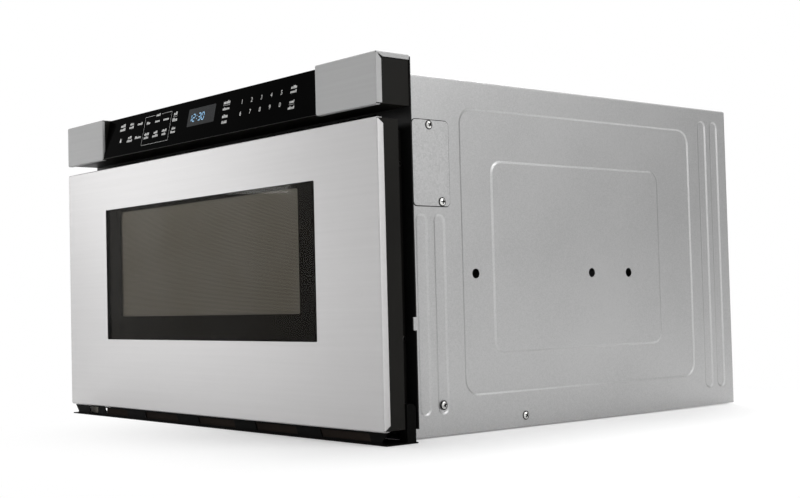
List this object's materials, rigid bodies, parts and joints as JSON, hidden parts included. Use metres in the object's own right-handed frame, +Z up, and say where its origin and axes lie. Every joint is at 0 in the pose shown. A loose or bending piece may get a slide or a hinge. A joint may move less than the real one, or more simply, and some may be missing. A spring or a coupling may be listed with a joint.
{
  "type": "microwave drawer",
  "caption": "Built-in microwave drawer with a stainless front, black control head, sliding food tray on telescopic rails and a galvanised body.",
  "frame": {"origin": "middle of the footprint, on the surface the oven stands on", "axes": "+X to the right of someone facing the drawer, +Y back into the cabinet, +Z up; the drawer opens towards -Y"},
  "size_m": [0.759, 0.679, 0.441],
  "materials": {
    "stainless_steel": "fine brushed, satin",
    "galvanised_steel": "galvanised sheet with a fine matte spangle",
    "zinc_steel": "bright zinc plate",
    "black_paint": "black powder paint, low sheen",
    "black_plastic": "moulded, fine grain",
    "control_glass": "back-printed black glass, polished",
    "window_glass": "tinted glass with a printed black border",
    "cavity_paint": "grey baked paint",
    "ceramic": "smooth white ceramic",
    "transformer_iron": "varnished laminations and copper winding",
    "aluminium": "mill finish",
    "circuit_board": "green solder resist",
    "mica": "pressed mica sheet",
    "nylon": "natural nylon"
  },
  "bodies": {
    "housing": {"base_plate": "galvanised_steel", "outer_wrapper": "galvanised_steel", "rear_panel": "galvanised_steel", "front_flange": "black_paint", "access_cover": "galvanised_steel", "access_screw_upper": "zinc_steel", "access_screw_lower": "zinc_steel", "rib_screw": "zinc_steel", "base_screw": "zinc_steel", "cord_gland": "black_plastic", "bottom_trim": "black_paint", "glide_pad": "nylon", "oven_cavity": "cavity_paint", "waveguide": "aluminium", "magnetron": "aluminium", "stirrer_cover": "mica", "stirrer_motor": "zinc_steel", "thermal_cutout": "black_plastic", "fan_housing": "black_plastic", "fan_motor": "zinc_steel", "air_duct": "black_plastic", "hv_transformer": "transformer_iron", "hv_capacitor": "aluminium", "hv_diode": "black_plastic", "noise_filter_board": "circuit_board", "power_board": "circuit_board", "oven_lamp": "ceramic", "head_housing": "black_plastic", "control_glass": "control_glass", "display_module": "black_plastic", "control_board": "circuit_board", "head_cap_left": "stainless_steel", "head_cap_right": "stainless_steel", "drive_motor": "zinc_steel", "switch_left": "black_plastic", "switch_right": "black_plastic", "rail_outer_left": "zinc_steel", "rail_outer_right": "zinc_steel"},
    "drawer": {"drawer_skin": "stainless_steel", "drawer_frame": "black_plastic", "window_glass": "window_glass", "window_screen": "black_paint", "inner_panel": "black_paint", "inner_window": "window_glass", "choke_cover": "black_plastic", "drawer_tray": "cavity_paint", "tray_plate": "ceramic", "drive_rack": "nylon", "rail_inner_left": "zinc_steel", "rail_inner_right": "zinc_steel", "drawer_arm_left": "zinc_steel", "drawer_arm_right": "zinc_steel"},
    "rail_middle_left": {"rail_middle_left": "zinc_steel"},
    "rail_middle_right": {"rail_middle_right": "zinc_steel"},
    "drive_pinion": {"drive_pinion": "nylon"},
    "fan_impeller": {"fan_impeller": "black_plastic"},
    "stirrer_blade": {"stirrer_blade": "aluminium"},
    "plunger_left": {"plunger_left": "nylon"},
    "plunger_right": {"plunger_right": "nylon"}
  },
  "joints": [
    {"name": "drawer_slide", "type": "slide", "parent": "housing", "child": "drawer", "axis": [0, -1, 0], "range_m": [0, 0.381]},
    {"name": "rail_slide_left", "type": "slide", "parent": "housing", "child": "rail_middle_left", "axis": [0, -1, 0], "range_m": [0, 0.191]},
    {"name": "rail_slide_right", "type": "slide", "parent": "housing", "child": "rail_middle_right", "axis": [0, -1, 0], "range_m": [0, 0.191]},
    {"name": "pinion_spin", "type": "hinge", "parent": "housing", "child": "drive_pinion", "pos_m": [-0.12, -0.2645, 0.042], "axis": [1, 0, 0], "range_deg": [0, 1213]},
    {"name": "fan_spin", "type": "hinge", "parent": "housing", "child": "fan_impeller", "pos_m": [-0.131, 0.195, 0.2537], "axis": [1, 0, 0], "continuous": true},
    {"name": "stirrer_spin", "type": "hinge", "parent": "housing", "child": "stirrer_blade", "pos_m": [0, -0.0895, 0.3137], "axis": [0, 0, 1], "continuous": true},
    {"name": "plunger_push_left", "type": "slide", "parent": "housing", "child": "plunger_left", "axis": [0, 1, 0], "range_m": [0, 0.0015], "stiffness_N_per_m": 400},
    {"name": "plunger_push_right", "type": "slide", "parent": "housing", "child": "plunger_right", "axis": [0, 1, 0], "range_m": [0, 0.0015], "stiffness_N_per_m": 400}
  ],
  "couplings": [
    {"joint": "rail_slide_left", "follows": "drawer_slide", "ratio": 0.5},
    {"joint": "rail_slide_right", "follows": "drawer_slide", "ratio": 0.5},
    {"joint": "pinion_spin", "follows": "drawer_slide", "rad_per_m": 55.556}
  ]
}
